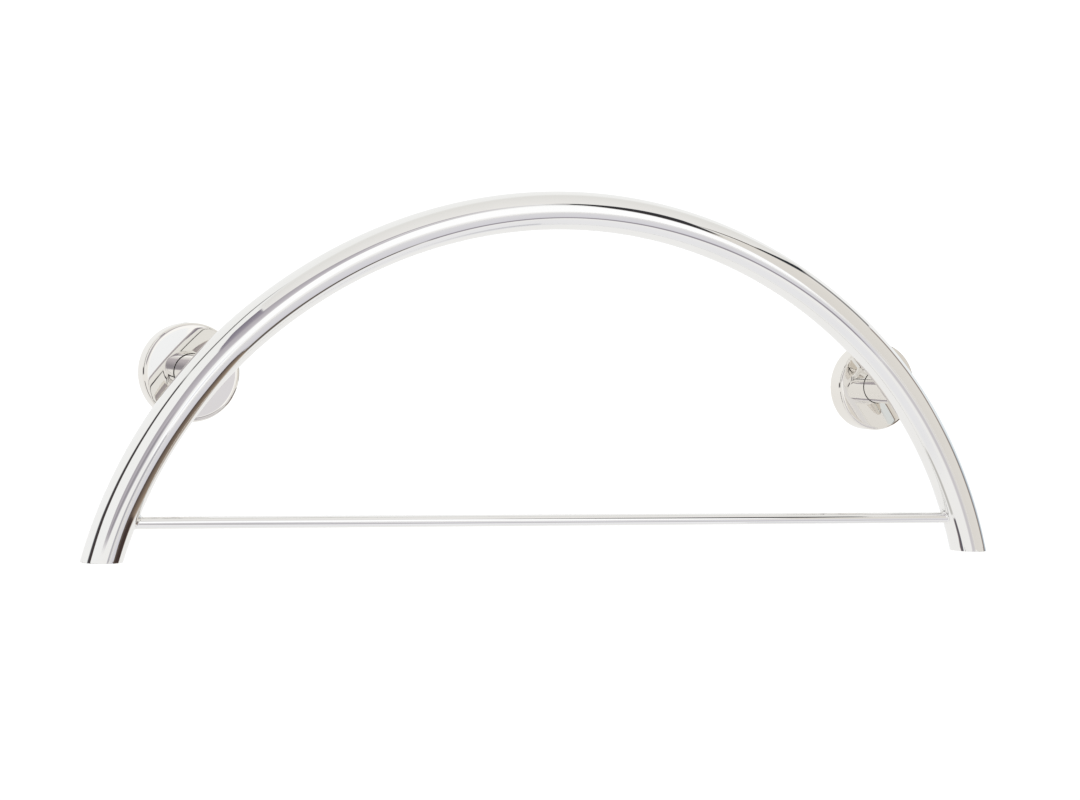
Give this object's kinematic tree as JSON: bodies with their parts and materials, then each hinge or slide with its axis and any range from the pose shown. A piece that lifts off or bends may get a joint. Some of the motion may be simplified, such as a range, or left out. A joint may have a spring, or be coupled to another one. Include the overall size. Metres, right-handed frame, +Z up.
{
  "type": "crescent grab rail with towel rail",
  "caption": "Crescent grab rail of bent polished tube on two wall flanges with sliding covers, and a thin towel rail between its legs.",
  "frame": {"origin": "on the wall plane, midway between the centres of the two wall flanges", "axes": "+X along the towel rail to the right, +Y into the wall, +Z up"},
  "size_m": [0.8292, 0.0698, 0.3048],
  "materials": {
    "polished_steel": "mirror-polished stainless steel",
    "sheet_steel": "mirror-polished drawn stainless sheet",
    "plate_steel": "plain mill-finish stainless steel",
    "black_rubber": "smooth moulded rubber"
  },
  "bodies": {
    "rail_frame": {"arch_tube": "polished_steel", "towel_rail": "polished_steel", "left_end_cap": "polished_steel", "left_rail_weld": "polished_steel", "left_post": "polished_steel", "left_post_weld": "polished_steel", "left_wall_flange": "plate_steel", "left_flange_weld": "plate_steel", "left_cover_ring": "black_rubber", "right_end_cap": "polished_steel", "right_rail_weld": "polished_steel", "right_post": "polished_steel", "right_post_weld": "polished_steel", "right_wall_flange": "plate_steel", "right_flange_weld": "plate_steel", "right_cover_ring": "black_rubber"},
    "left_cover": {"left_flange_cover": "sheet_steel"},
    "right_cover": {"right_flange_cover": "sheet_steel"}
  },
  "joints": [
    {"name": "left_cover_slide", "type": "slide", "parent": "rail_frame", "child": "left_cover", "axis": [0, -1, 0], "range_m": [0, 0.0165]},
    {"name": "right_cover_slide", "type": "slide", "parent": "rail_frame", "child": "right_cover", "axis": [0, -1, 0], "range_m": [0, 0.0165]}
  ]
}
